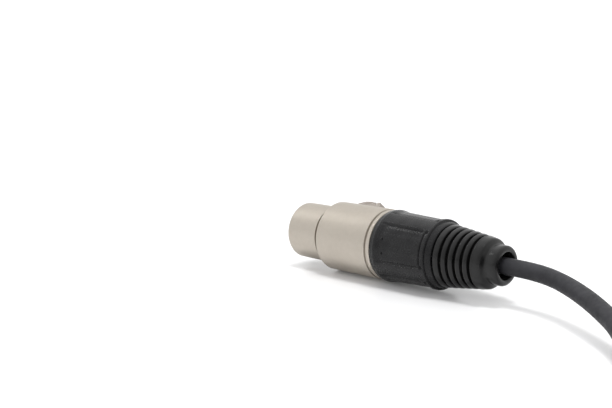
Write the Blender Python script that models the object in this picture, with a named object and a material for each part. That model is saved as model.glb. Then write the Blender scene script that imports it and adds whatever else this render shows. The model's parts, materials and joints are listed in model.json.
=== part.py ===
"""A 3 m microphone cable with a three-pin cable connector on each end.

The female connector lies on the ground along X: its mating face looks along -X and the cable leaves
its boot along +X. The cable runs across the ground into a round coil of four layers, whose last turn
climbs into the male connector that lies on the coil. A strap holds the turns together.
Metres, +Z up. The origin is on the ground under the middle of the female connector.

Each connector is built in its own frame: X runs from the mating end to the cable end, Z points to the
latch. An empty holds that frame and places the connector.
"""

import math

import bmesh
import bpy
import numpy as np
from mathutils import Matrix, Vector

# ---------------------------------------------------------------- driving dimensions
GAP = 0.0003  # clearance between pieces that touch on the real thing

CONNECTOR_LENGTH = 0.0705
SHELL_R = 0.0097  # outside of the die-cast shell
SHELL_END = 0.0333  # the shell's rear lip, where the cap nut starts
NOSE_R = 0.0080  # the sleeve that enters a male shell
NOSE_END = 0.0114  # a groove parts it from the shell
NOSE_GROOVE_R = 0.0074
NOSE_BORE_R = 0.0070
NOSE_TAIL_END = 0.0145  # clear of the push pad when it is pressed
SHELL_START = 0.0132
BODY_BORE_R = 0.0086  # bore of either shell behind its front end
SOCKET_BORE_R = 0.0082  # the male shell's mating cavity
MALE_FACE = 0.0125  # depth of that cavity, from the mouth to the insert

INSERT_R = NOSE_BORE_R - GAP
INSERT_FRONT = 0.0006
INSERT_REAR = 0.0278
CONTACT_CIRCLE = 0.0040  # the three contacts sit a quarter turn apart on this radius
CONTACT_REAR = 0.0295
PIN_R = 0.00119
SOCKET_R = 0.00175
SOCKET_HOLE_R = 0.00125

NUT_START = 0.0336
NUT_R = 0.00973
NUT_END = 0.0531
NUT_BAND = 0.0505  # the plain band behind the grip panels
NUT_BAND_R = 0.00928
NUT_TAPER = (0.00911 - NUT_R) / (NUT_BAND - NUT_START)
NUT_BORE_R = 0.0069
PANEL_COUNT = 4
PANEL_HALF_DEG = 34.0
PANEL_EDGE_DEG = 2.0
PANEL_ANGLE = 74.0  # of one panel of the female nut, from straight up towards -Y
PANEL_START = 0.0348
RIB_HEIGHT = 0.00020  # how far the ribs between the grip panels stand above the panels

BOOT_START = 0.0535
BOOT_R = 0.0082
BOOT_TAPER = -0.1355  # change of radius along the cone
BOOT_CONE_END = 0.0666
BOOT_COLLAR_R = 0.00515
BOOT_BORE_R = 0.00275
SLEEVE_R = 0.0063
SLEEVE_START = 0.0462
GROOVE_COUNT = 5
GROOVE_FIRST = 0.05543
GROOVE_PITCH = 0.00202
GROOVE_WIDTH = 0.0008
GROOVE_DEPTH = 0.0010

CHUCK_START = 0.0350
CHUCK_END = 0.0459
CHUCK_R = 0.0065
CHUCK_BORE_R = 0.00245

LATCH_ROLL = math.radians(45.0)  # the female connector lies rolled away by this much
LATCH_HALF_WIDTH = 0.0014
LATCH_PIVOT = Vector((0.0255, 0.0, 0.0056))
LATCH_PIN_R = 0.0005
PAD_FRONT = 0.0149
PAD_REAR = 0.0252
PAD_HALF_WIDTH = 0.0030
PAD_TOP = 0.0114  # of its flat part
ARM_TOP = 0.0075
ARM_BOTTOM = 0.0069
CHANNEL_FLOOR = 0.0048

CABLE_R = 0.00215
CABLE_END = 0.0430  # the jacket's end inside either connector, from its mating end
WIRE_R = 0.00055

COIL_CENTRE = Vector((0.1205, -0.0083, 0.0))
COIL_INNER = 0.01725  # centreline of the innermost turn
COIL_STEP = 0.0044  # between turns that lie side by side
COIL_RISE = 0.00432  # between layers
COIL_LAYERS = 4
TURNS_PER_LAYER = 4.25
COIL_OUTER = COIL_INNER + TURNS_PER_LAYER * COIL_STEP
COIL_ENTRY = math.radians(-80.0)  # where the lead joins the outermost turn
COIL_SKIN = 0.0001
COIL_TOP = 2 * CABLE_R + (COIL_LAYERS - 1) * COIL_RISE + COIL_SKIN

TIE_ANGLE = math.radians(120.0)
TIE_WIDTH = 0.0110
TIE_THICK = 0.0011

AXIS_HEIGHT = NUT_R  # of the female connector, which lies on the ground
MALE_HEIGHT = COIL_TOP + GAP + NUT_R + RIB_HEIGHT
MALE_HEADING = math.radians(45.0)  # the way the male connector's mating end points
TAIL_BEND_R = 0.0190  # of the last turn's bend into the male connector
TAIL_STRAIGHT = 0.0030
TAIL_CLIMB_START = math.radians(-240.0)

FEMALE_MID = CONNECTOR_LENGTH / 2

# The lead from inside the female connector, over the ground, to where it meets the coil.
LEAD_ROUTE = [
    (CABLE_END - FEMALE_MID, 0.0, AXIS_HEIGHT),
    (0.0200, 0.0, AXIS_HEIGHT),
    (0.0325, 0.0, AXIS_HEIGHT),
    (0.0380, -0.0001, AXIS_HEIGHT),
    (0.0428, -0.0005, 0.00968),
    (0.0474, -0.0015, 0.00952),
    (0.0517, -0.0032, 0.00926),
    (0.0559, -0.0054, 0.00890),
    (0.0602, -0.0080, 0.00845),
    (0.0644, -0.0108, 0.00790),
    (0.0686, -0.0138, 0.00722),
    (0.0728, -0.0170, 0.00640),
    (0.0769, -0.0206, 0.00550),
    (0.0814, -0.0265, 0.00435),
    (0.0861, -0.0320, 0.00330),
    (0.0911, -0.0367, 0.00255),
    (0.0968, -0.0410, 0.00220),
    (0.1031, -0.0440, 0.00216),
    (0.1106, -0.0454, 0.00215),
    (0.1186, -0.0452, 0.00215),
]

# ---------------------------------------------------------------- scene and materials
for old in list(bpy.data.objects):
    bpy.data.objects.remove(old, do_unlink=True)


def material(name, colour, metallic, roughness):
    made = bpy.data.materials.new(name)
    made.use_nodes = True
    shader = made.node_tree.nodes["Principled BSDF"]
    shader.inputs["Base Color"].default_value = (*colour, 1.0)
    shader.inputs["Metallic"].default_value = metallic
    shader.inputs["Roughness"].default_value = roughness
    return made


NICKEL = material("satin_nickel", (0.52, 0.49, 0.45), 1.0, 0.30)
PLASTIC = material("black_plastic", (0.030, 0.030, 0.032), 0.0, 0.42)
RUBBER = material("black_rubber", (0.036, 0.036, 0.037), 0.0, 0.55)
JACKET = material("cable_jacket", (0.060, 0.062, 0.068), 0.0, 0.50)
GOLD = material("contact_plating", (0.83, 0.68, 0.36), 1.0, 0.22)
STEEL = material("spring_steel", (0.55, 0.56, 0.58), 1.0, 0.28)
NYLON = material("clamp_nylon", (0.16, 0.17, 0.19), 0.0, 0.45)
STRAP = material("strap_webbing", (0.022, 0.022, 0.024), 0.0, 0.85)
WIRE_COLOURS = (
    material("wire_red", (0.45, 0.03, 0.03), 0.0, 0.45),
    material("wire_white", (0.75, 0.74, 0.70), 0.0, 0.45),
    material("wire_shield", (0.62, 0.40, 0.25), 1.0, 0.40),
)


def frame_at(name, matrix):
    """An empty that holds one connector's own frame."""
    empty = bpy.data.objects.new(name, None)
    bpy.context.collection.objects.link(empty)
    empty.matrix_world = matrix
    return empty


def add_object(name, data, finish, parent=None, at=(0, 0, 0)):
    made = bpy.data.objects.new(name, data)
    bpy.context.collection.objects.link(made)
    data.materials.append(finish)
    made.parent = parent
    made.location = at
    return made


def finish_mesh(name, bm, finish, parent=None, at=(0, 0, 0), crease=35.0):
    """Close up a bmesh, turn its faces outwards and make it an object with its origin at `at`."""
    bmesh.ops.remove_doubles(bm, verts=bm.verts, dist=1e-7)
    bmesh.ops.recalc_face_normals(bm, faces=bm.faces)
    bmesh.ops.translate(bm, verts=bm.verts, vec=-Vector(at))
    mesh = bpy.data.meshes.new(name)
    bm.to_mesh(mesh)
    bm.free()
    mesh.shade_smooth()
    mesh.set_sharp_from_angle(angle=math.radians(crease))
    return add_object(name, mesh, finish, parent, at)


# ---------------------------------------------------------------- shape tools
def round_corner(corner, before, after, radius, steps=3):
    """Points of a fillet at `corner`, between the neighbouring outline points."""
    corner, before, after = (np.array(p, float) for p in (corner, before, after))
    to_before = (before - corner) / np.linalg.norm(before - corner)
    to_after = (after - corner) / np.linalg.norm(after - corner)
    start = corner + to_before * radius
    end = corner + to_after * radius
    shares = np.linspace(0.0, 1.0, steps + 1)
    return [tuple((1 - s) ** 2 * start + 2 * s * (1 - s) * corner + s**2 * end) for s in shares]


def even_angles(count):
    return [math.tau * (k + 0.5) / count for k in range(count)]


def turned(name, outline, finish, parent=None, angles=None, shift=None, at=(0, 0, 0)):
    """A solid turned about the connector's X axis from a closed outline of (x, radius) points.

    `shift(x, radius, angle)` may move the radius; an outline point at radius 0 becomes a pole."""
    angles = angles or even_angles(40)
    bm = bmesh.new()
    rows = []
    for x, r in outline:
        if r == 0:
            rows.append([bm.verts.new((x, 0, 0))] * len(angles))
            continue
        row = []
        for angle in angles:
            far = shift(x, r, angle) if shift else r
            row.append(bm.verts.new((x, far * math.sin(angle), far * math.cos(angle))))
        rows.append(row)
    for row, following in zip(rows, rows[1:] + rows[:1]):
        for k in range(len(angles)):
            m = (k + 1) % len(angles)
            corners = (row[k], row[m], following[m], following[k])
            face = list(dict.fromkeys(corners))
            if len(face) > 2:
                bm.faces.new(face)
    return finish_mesh(name, bm, finish, parent, at)


def add_cylinder(bm, centre, radius, length, axis="X", segments=20):
    turn = {"X": Matrix.Rotation(math.pi / 2, 4, "Y"), "Y": Matrix.Rotation(math.pi / 2, 4, "X")}
    place = Matrix.Translation(centre) @ turn.get(axis, Matrix())
    bmesh.ops.create_cone(
        bm,
        cap_ends=True,
        segments=segments,
        radius1=radius,
        radius2=radius,
        depth=length,
        matrix=place,
    )


def add_box(bm, low, high):
    low, high = Vector(low), Vector(high)
    size = Matrix.Diagonal((*(high - low), 1.0))
    bmesh.ops.create_cube(bm, size=1.0, matrix=Matrix.Translation((low + high) / 2) @ size)


def cut(target, name, build):
    """Cut the shape that build(bm) draws, in the target's own frame, out of the target."""
    bm = bmesh.new()
    build(bm)
    bmesh.ops.recalc_face_normals(bm, faces=bm.faces)
    bmesh.ops.translate(bm, verts=bm.verts, vec=-target.location)
    mesh = bpy.data.meshes.new(name)
    bm.to_mesh(mesh)
    bm.free()
    cutter = bpy.data.objects.new(name, mesh)
    bpy.context.collection.objects.link(cutter)
    cutter.parent = target.parent
    cutter.location = target.location
    cutter.hide_render = True
    cutter.display_type = "WIRE"
    boolean = target.modifiers.new(name, "BOOLEAN")
    boolean.operation = "DIFFERENCE"
    boolean.object = cutter


def extruded(name, outline, half_width, finish, parent, at=(0, 0, 0)):
    """A solid with an (x, z) outline, as wide as half_width to each side of y = 0."""
    bm = bmesh.new()
    near = [bm.verts.new((x, -half_width, z)) for x, z in outline]
    face = bm.faces.new(near)
    moved = bmesh.ops.extrude_face_region(bm, geom=[face])
    far = [v for v in moved["geom"] if isinstance(v, bmesh.types.BMVert)]
    bmesh.ops.translate(bm, verts=far, vec=(0, 2 * half_width, 0))
    return finish_mesh(name, bm, finish, parent, at)


def smooth_line(points, spacing):
    """Points `spacing` apart along a smooth curve through the given points."""
    pts = np.array(points, float)
    ghost = np.vstack([2 * pts[0] - pts[1], pts, 2 * pts[-1] - pts[-2]])
    fine = []
    for a, b, c, d in zip(ghost, ghost[1:], ghost[2:], ghost[3:]):
        steps = max(4, int(np.linalg.norm(c - b) / 0.0004))
        t = np.linspace(0, 1, steps, endpoint=False)[:, None]
        bend = (2 * a - 5 * b + 4 * c - d) * t**2 + (3 * b - a - 3 * c + d) * t**3
        fine.append(b + 0.5 * ((c - a) * t + bend))
    fine = np.vstack([*fine, pts[-1:]])
    along = np.concatenate([[0.0], np.linalg.norm(np.diff(fine, axis=0), axis=1).cumsum()])
    count = max(2, round(along[-1] / spacing) + 1)
    wanted = np.linspace(0.0, along[-1], count)
    return np.column_stack([np.interp(wanted, along, fine[:, k]) for k in range(3)])


def tube(name, points, radius, finish, parent=None, sides=2):
    """A solid cord: a polyline curve with a round section and filled caps."""
    curve = bpy.data.curves.new(name, "CURVE")
    curve.dimensions = "3D"
    curve.bevel_depth = radius
    curve.bevel_resolution = sides
    curve.use_fill_caps = True
    curve.render_resolution_u = 0
    spline = curve.splines.new("POLY")
    spline.points.add(len(points) - 1)
    for target, place in zip(spline.points, points):
        target.co = (*place, 1.0)
    return add_object(name, curve, finish, parent)


# ---------------------------------------------------------------- parts that both connectors have
def contact_places():
    """Name and (y, z) of each contact, seen from the cable end, latch up."""
    return (
        ("1", (CONTACT_CIRCLE, 0.0)),
        ("2", (-CONTACT_CIRCLE, 0.0)),
        ("3", (0.0, -CONTACT_CIRCLE)),
    )


def shell_rear(outer):
    """Outline of a shell's outside from the plain cylinder to its rear lip."""
    groove = SHELL_END - 0.0016
    return [
        (groove - 0.0002, outer),
        (groove, outer - 0.0002),
        (groove + 0.0001, outer - 0.0004),
        (groove + 0.0004, outer - 0.0004),
        (groove + 0.0005, outer - 0.0001),
        (SHELL_END - 0.0002, outer - 0.0001),
        (SHELL_END, outer - 0.0003),
    ]


def panel_angles(turn):
    """Angles around the cap nut, close together at the edges of its grip panels."""
    angles = []
    for k in range(PANEL_COUNT):
        middle = turn + k * 360.0 / PANEL_COUNT
        for step in (-1.0, -0.66, -0.33, 0.0, 0.33, 0.66, 1.0):
            angles.append(middle + step * PANEL_HALF_DEG)
        edge = PANEL_HALF_DEG + PANEL_EDGE_DEG
        angles += [middle - edge, middle + edge]
        angles.append(middle + 180.0 / PANEL_COUNT)
    return sorted(math.radians(a % 360.0) for a in angles)


def cap_nut(prefix, parent, panel_turn):
    """The threaded cap nut that closes the shell and squeezes the chuck; its ribs give grip."""
    pitch = 360.0 / PANEL_COUNT

    def rib(x, r, angle):
        off = abs((math.degrees(angle) - panel_turn + pitch / 2) % pitch - pitch / 2)
        along_panel = PANEL_START + 0.0002 < x < NUT_BAND - 0.0003 and r > NUT_BORE_R + 0.001
        inside_panel = off <= PANEL_HALF_DEG + 0.01
        return r - RIB_HEIGHT if along_panel and inside_panel else r

    def outer(x):
        return NUT_R + RIB_HEIGHT + NUT_TAPER * (x - NUT_START)

    thread_start = INSERT_REAR + GAP
    neck_r = BODY_BORE_R - GAP
    outline = [
        (thread_start, NUT_BORE_R),
        (thread_start, neck_r),
        (NUT_START, neck_r),
        (NUT_START, NUT_R - 0.0003),
        (NUT_START + 0.0003, NUT_R),
        (PANEL_START - 0.0006, outer(PANEL_START) - RIB_HEIGHT),
        (PANEL_START, outer(PANEL_START)),
        (PANEL_START + 0.0003, outer(PANEL_START)),
        (0.0430, outer(0.0430)),
        (NUT_BAND - 0.0004, outer(NUT_BAND)),
        (NUT_BAND - 0.0001, NUT_BAND_R),
        (NUT_BAND + 0.0009, NUT_BAND_R - 0.0001),
        (NUT_END - 0.0007, BOOT_R + 0.00035),
        (NUT_END, BOOT_R),
        (NUT_END, SLEEVE_R + GAP),
        (0.0500, SLEEVE_R + GAP),
        (0.0495, NUT_BORE_R),
    ]
    angles = panel_angles(panel_turn)
    return turned(f"{prefix}_cap_nut", outline, PLASTIC, parent, angles, rib)


def boot_radius(x):
    return BOOT_R + BOOT_TAPER * (x - BOOT_START)


def boot(prefix, parent):
    """The soft boot: a ribbed cone with a collar, whose front sleeve sits inside the cap nut."""
    outline = [(SLEEVE_START, BOOT_BORE_R), (SLEEVE_START, SLEEVE_R), (BOOT_START, SLEEVE_R)]
    outline += [(BOOT_START, boot_radius(BOOT_START) - 0.0003)]
    outline += [(BOOT_START + 0.0003, boot_radius(BOOT_START))]
    for k in range(GROOVE_COUNT):
        middle = GROOVE_FIRST + k * GROOVE_PITCH
        half = GROOVE_WIDTH / 2
        outline.append((middle - half, boot_radius(middle - half)))
        outline.append((middle - half / 4, boot_radius(middle) - GROOVE_DEPTH))
        outline.append((middle + half / 4, boot_radius(middle) - GROOVE_DEPTH))
        outline.append((middle + half, boot_radius(middle + half)))
    end_r = boot_radius(BOOT_CONE_END)
    collar_start = BOOT_CONE_END + 0.0009
    outline += round_corner(
        (BOOT_CONE_END + 0.0003, end_r),
        (BOOT_CONE_END - 0.002, boot_radius(BOOT_CONE_END - 0.002)),
        (collar_start, BOOT_COLLAR_R),
        0.0007,
    )
    outline.append((collar_start + 0.0003, BOOT_COLLAR_R))
    outline += round_corner(
        (CONNECTOR_LENGTH, BOOT_COLLAR_R - 0.0001),
        (collar_start, BOOT_COLLAR_R),
        (CONNECTOR_LENGTH, BOOT_BORE_R),
        0.0010,
        steps=4,
    )
    outline.append((CONNECTOR_LENGTH, BOOT_BORE_R + 0.0002))
    outline.append((CONNECTOR_LENGTH - 0.0002, BOOT_BORE_R))
    return turned(f"{prefix}_boot", outline, RUBBER, parent, even_angles(32))


def chuck(prefix, parent):
    """The slotted collet that grips the jacket when the cap nut is screwed home."""
    outline = [
        (CHUCK_START, CHUCK_BORE_R),
        (CHUCK_START, CHUCK_R - 0.0006),
        (CHUCK_START + 0.0006, CHUCK_R),
        (CHUCK_END - 0.0040, CHUCK_R),
        (CHUCK_END, CHUCK_R - 0.0016),
        (CHUCK_END, CHUCK_BORE_R),
    ]
    made = turned(f"{prefix}_chuck", outline, NYLON, parent, even_angles(24))

    def slots(bm):
        start, reach, half = CHUCK_END - 0.0070, 0.008, 0.0004
        add_box(bm, (start, -half, -reach), (CHUCK_END + 0.001, half, -CHUCK_BORE_R / 2))
        add_box(bm, (start, -half, CHUCK_BORE_R / 2), (CHUCK_END + 0.001, half, reach))

    cut(made, f"{prefix}_chuck_slots", slots)
    return made


def wires(prefix, parent):
    """Two insulated cores and the twisted shield, from the jacket's end to the solder cups."""
    names = ("shield_wire", "core_a", "core_b")
    for (_, (y, z)), name, finish in zip(contact_places(), names, WIRE_COLOURS[::-1]):
        far = math.hypot(y, z)
        inner = 0.0012 / far
        route = [
            (CABLE_END - GAP, y * inner, z * inner),
            (0.0385, y * inner, z * inner),
            (0.0355, y * inner * 1.1, z * inner * 1.1),
            (0.0325, y * 0.75, z * 0.75),
            (0.0305, y, z),
            (CONTACT_REAR + GAP, y, z),
        ]
        tube(f"{prefix}_{name}", smooth_line(route, 0.0015), WIRE_R, finish, parent, 1)


def ground_tab(prefix, parent):
    """The solder tag that joins the shell to the cable's shield."""
    outline = [
        (INSERT_REAR + GAP, 0.0040),
        (INSERT_REAR + GAP, 0.0064),
        (INSERT_REAR + 0.0008, 0.0064),
        (INSERT_REAR + 0.0008, 0.0045),
        (INSERT_REAR + 0.0036, 0.0045),
        (INSERT_REAR + 0.0036, 0.0040),
    ]
    return extruded(f"{prefix}_ground_tab", outline, 0.0011, GOLD, parent)


# ---------------------------------------------------------------- female connector
def female_nose(parent):
    """The metal sleeve of the mating end, with the slot that the latch hook rises through."""
    neck_r = 0.0077
    outline = [(NOSE_TAIL_END, NOSE_BORE_R), (0.0, NOSE_BORE_R)]
    outline += round_corner((0.0, NOSE_R), (0.0, NOSE_BORE_R), (NOSE_END, NOSE_R), 0.0006)
    outline += [(NOSE_END - 0.0001, NOSE_R), (NOSE_END, NOSE_R - 0.0001)]
    outline += [(NOSE_END, NOSE_GROOVE_R), (0.0129, NOSE_GROOVE_R)]
    outline += [(0.0129, neck_r), (NOSE_TAIL_END, neck_r)]
    made = turned("female_nose", outline, NICKEL, parent)

    def slot(bm):
        half = LATCH_HALF_WIDTH + GAP
        add_box(bm, (0.0042, -half, 0.004), (0.0160, half, 0.009))

    cut(made, "female_nose_slot", slot)
    return made


def female_shell(parent):
    """The shell around the latch, with the window that the push pad stands in."""
    front = (SHELL_START, SHELL_R)
    outline = [(SHELL_START, 0.0080)]
    outline += round_corner(front, (SHELL_START, 0.0080), (SHELL_END, SHELL_R), 0.0008)
    outline += shell_rear(SHELL_R)
    outline += [(SHELL_END, BODY_BORE_R), (0.0152, BODY_BORE_R), (0.0152, 0.0080)]
    made = turned("female_shell", outline, NICKEL, parent)

    def window(bm):
        half = PAD_HALF_WIDTH + GAP
        add_box(bm, (PAD_FRONT - GAP, -half, 0.004), (PAD_REAR + 0.0005, half, 0.012))

    cut(made, "female_shell_window", window)
    return made


def female_insert(parent):
    """The insulator that holds the socket contacts, with the channel that the latch arm dips into."""
    outline = [
        (INSERT_FRONT, 0.0),
        (INSERT_FRONT, INSERT_R - 0.0003),
        (INSERT_FRONT + 0.0003, INSERT_R),
        (INSERT_REAR, INSERT_R),
        (INSERT_REAR, 0.0),
    ]
    made = turned("female_insert", outline, PLASTIC, parent, even_angles(32))

    def mouths(bm):
        for _, (y, z) in contact_places():
            add_cylinder(bm, (0.0, y, z), SOCKET_HOLE_R + 0.00015, 0.0060)

    def bores(bm):
        for _, (y, z) in contact_places():
            add_cylinder(bm, (0.0082, y, z), SOCKET_R + GAP, 0.0126)

    def rear_bores(bm):
        for _, (y, z) in contact_places():
            add_cylinder(bm, (0.0220, y, z), 0.0013, 0.0200, segments=16)

    def channel(bm):
        half = LATCH_HALF_WIDTH + 0.0004
        add_box(bm, (0.0030, -half, CHANNEL_FLOOR), (0.0236, half, 0.008))

    def eye_room(bm):
        half = LATCH_HALF_WIDTH + 0.0006
        add_box(bm, (0.0230, -half, 0.0038), (0.0290, half, 0.009))

    def pin_hole(bm):
        add_cylinder(bm, LATCH_PIVOT, LATCH_PIN_R + GAP, 0.0160, "Y", 16)

    def keyway(bm):
        add_box(bm, (-0.001, -0.0009, -0.0080), (0.0100, 0.0009, -0.00630))

    for name, build in (
        ("contact_mouths", mouths),
        ("contact_bores", bores),
        ("contact_rear_bores", rear_bores),
        ("latch_channel", channel),
        ("latch_eye_room", eye_room),
        ("latch_pin_hole", pin_hole),
        ("keyway", keyway),
    ):
        cut(made, f"female_insert_{name}", build)
    return made


def socket_contact(number, place, parent):
    """A turned contact: socket in front, solder cup behind."""
    y, z = place
    outline = [
        (0.0022, SOCKET_HOLE_R),
        (0.0022, SOCKET_R),
        (0.0140, SOCKET_R),
        (0.0140, 0.0010),
        (CONTACT_REAR, 0.0010),
        (CONTACT_REAR, 0.0007),
        (CONTACT_REAR - 0.0025, 0.0007),
        (CONTACT_REAR - 0.0025, 0.0),
        (0.0128, 0.0),
        (0.0128, SOCKET_HOLE_R),
    ]
    made = turned(f"socket_contact_{number}", outline, GOLD, parent, even_angles(16))
    made.location = (0.0, y, z)
    return made


def latch(parent):
    """The latch lever with its hook, the push pad on it, the hinge pin and the return spring."""
    px, pz = LATCH_PIVOT.x, LATCH_PIVOT.z
    eye = 0.00125
    hook_top = 0.0084
    outline = [
        (0.0048, ARM_BOTTOM),
        (0.0048, ARM_TOP),
        (0.0056, ARM_TOP),
        (0.0062, hook_top),
        (0.0074, hook_top),
        (0.0075, ARM_TOP),
        (0.0226, ARM_TOP),
    ]
    for degrees in range(50, -181, -30):
        a = math.radians(degrees)
        outline.append((px + eye * math.cos(a), pz + eye * math.sin(a)))
    outline += [(0.0230, ARM_BOTTOM - 0.0006), (0.0220, ARM_BOTTOM)]
    lever = extruded("latch_lever", outline, LATCH_HALF_WIDTH, STEEL, parent, LATCH_PIVOT)

    def eye_hole(bm):
        add_cylinder(bm, LATCH_PIVOT, LATCH_PIN_R + GAP, 0.0060, "Y", 16)

    cut(lever, "latch_lever_eye", eye_hole)

    rib = PAD_REAR - 0.0022
    pad_outline = [
        (PAD_FRONT, ARM_TOP + GAP),
        (PAD_FRONT, 0.0094),
        (PAD_FRONT + 0.0018, PAD_TOP - 0.0008),
        (PAD_FRONT + 0.0036, PAD_TOP - 0.0002),
        (rib - 0.0009, PAD_TOP),
        (rib - 0.0006, PAD_TOP - 0.0010),
        (rib - 0.0003, PAD_TOP - 0.0010),
        (rib, PAD_TOP),
        (PAD_REAR - 0.0008, PAD_TOP),
        (PAD_REAR, PAD_TOP - 0.0008),
        (PAD_REAR, ARM_TOP + GAP),
    ]
    extruded("latch_push_pad", pad_outline, PAD_HALF_WIDTH, NICKEL, parent, LATCH_PIVOT)

    bm = bmesh.new()
    add_cylinder(bm, LATCH_PIVOT, LATCH_PIN_R, 0.0066, "Y", 12)
    finish_mesh("latch_hinge_pin", bm, STEEL, parent, LATCH_PIVOT)

    wire, radius, turns, steps = 0.00018, 0.0010, 3, 10
    low = CHANNEL_FLOOR + GAP + wire
    high = ARM_BOTTOM - GAP - wire
    spring = []
    for k in range(turns * steps + 1):
        a = math.tau * k / steps
        height = low + (high - low) * k / (turns * steps)
        spring.append((0.0170 + radius * math.cos(a), radius * math.sin(a), height))
    tube("latch_spring", spring, wire, STEEL, parent, 0)


def female_connector():
    roll = Matrix.Rotation(-LATCH_ROLL, 4, "X")
    place = Matrix.Translation((-FEMALE_MID, 0.0, AXIS_HEIGHT)) @ roll
    own = frame_at("female_frame", place)
    female_nose(own)
    female_shell(own)
    female_insert(own)
    for number, place in contact_places():
        socket_contact(number, place, own)
    latch(own)
    ground_tab("female", own)
    chuck("female", own)
    cap_nut("female", own, 360.0 - PANEL_ANGLE - math.degrees(LATCH_ROLL))
    boot("female", own)
    wires("female", own)


# ---------------------------------------------------------------- male connector
def male_shell(parent):
    """The shell whose front end takes a female nose, with the window for that one's latch hook."""
    outline = [(MALE_FACE + 0.0155, SOCKET_BORE_R), (0.0003, SOCKET_BORE_R)]
    outline += [(0.0, SOCKET_BORE_R + 0.0003)]
    outline += round_corner((0.0, SHELL_R), (0.0, SOCKET_BORE_R), (0.01, SHELL_R), 0.0005)
    outline += shell_rear(SHELL_R)
    outline += [(SHELL_END, BODY_BORE_R), (MALE_FACE + 0.0155, BODY_BORE_R)]
    made = turned("male_shell", outline, NICKEL, parent)

    def window(bm):
        add_box(bm, (0.0052, -0.0019, 0.006), (0.0086, 0.0019, 0.012))

    cut(made, "male_shell_window", window)
    return made


def male_insert(parent):
    """The insulator that holds the three pins."""
    outer = SOCKET_BORE_R - GAP
    outline = [
        (MALE_FACE, 0.0),
        (MALE_FACE, outer - 0.0002),
        (MALE_FACE + 0.0002, outer),
        (INSERT_REAR, outer),
        (INSERT_REAR, 0.0),
    ]
    made = turned("male_insert", outline, PLASTIC, parent, even_angles(32))

    def holes(bm):
        for _, (y, z) in contact_places():
            add_cylinder(bm, (0.0200, y, z), PIN_R + GAP, 0.0300, segments=16)

    cut(made, "male_insert_holes", holes)
    return made


def male_pin(number, place, parent):
    y, z = place
    outline = [
        (0.0018, 0.0),
        (0.0018, PIN_R - 0.0006),
        (0.0024, PIN_R),
        (0.0270, PIN_R),
        (0.0270, 0.0010),
        (CONTACT_REAR, 0.0010),
        (CONTACT_REAR, 0.0007),
        (CONTACT_REAR - 0.0020, 0.0007),
        (CONTACT_REAR - 0.0020, 0.0),
    ]
    made = turned(f"male_pin_{number}", outline, GOLD, parent, even_angles(16))
    made.location = (0.0, y, z)
    return made


def male_connector():
    heading = Vector((math.cos(MALE_HEADING), math.sin(MALE_HEADING), 0.0))
    mouth = tail_end() + heading * (TAIL_STRAIGHT + CONNECTOR_LENGTH)
    facing = Matrix.Rotation(MALE_HEADING + math.pi, 4, "Z")
    own = frame_at("male_frame", Matrix.Translation(mouth) @ facing)
    male_shell(own)
    male_insert(own)
    for number, place in contact_places():
        male_pin(number, place, own)
    ground_tab("male", own)
    chuck("male", own)
    cap_nut("male", own, 0.0)
    boot("male", own)
    wires("male", own)


# ---------------------------------------------------------------- cable
def smooth_step(share):
    share = min(1.0, max(0.0, share))
    return share * share * (3.0 - 2.0 * share)


def tail_end():
    """Where the last turn's bend ends, on the male connector's axis."""
    along = Vector((math.cos(MALE_HEADING), math.sin(MALE_HEADING), 0.0))
    left = Vector((-along.y, along.x, 0.0))
    flat = COIL_CENTRE - along * (COIL_OUTER - TAIL_BEND_R) - left * TAIL_BEND_R
    return flat + Vector((0.0, 0.0, MALE_HEIGHT))


def tail_route():
    """The last part of the top layer, climbing, and its bend into the male connector's boot."""
    top_layer = CABLE_R + (COIL_LAYERS - 1) * COIL_RISE
    bend_start = MALE_HEADING - math.pi
    on_coil = COIL_OUTER * (bend_start - TAIL_CLIMB_START)
    in_bend = TAIL_BEND_R * math.pi / 2
    bend_centre = COIL_CENTRE + Vector((math.cos(bend_start), math.sin(bend_start), 0.0)) * (
        COIL_OUTER - TAIL_BEND_R
    )
    route = []
    for k in range(25):
        along = (on_coil + in_bend) * k / 24
        if along < on_coil:
            centre, radius = COIL_CENTRE, COIL_OUTER
            angle = TAIL_CLIMB_START + along / COIL_OUTER
        else:
            centre, radius = bend_centre, TAIL_BEND_R
            angle = bend_start + (along - on_coil) / TAIL_BEND_R
        lift = smooth_step(along / (on_coil + in_bend))
        height = top_layer + (MALE_HEIGHT - top_layer) * lift
        x = centre.x + radius * math.cos(angle)
        y = centre.y + radius * math.sin(angle)
        route.append((x, y, height))
    heading = Vector((math.cos(MALE_HEADING), math.sin(MALE_HEADING), 0.0))
    end = tail_end()
    inside = TAIL_STRAIGHT + CONNECTOR_LENGTH - CABLE_END
    route += [tuple(end + heading * inside * share) for share in (0.25, 0.5, 0.75, 1.0)]
    return route


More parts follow.
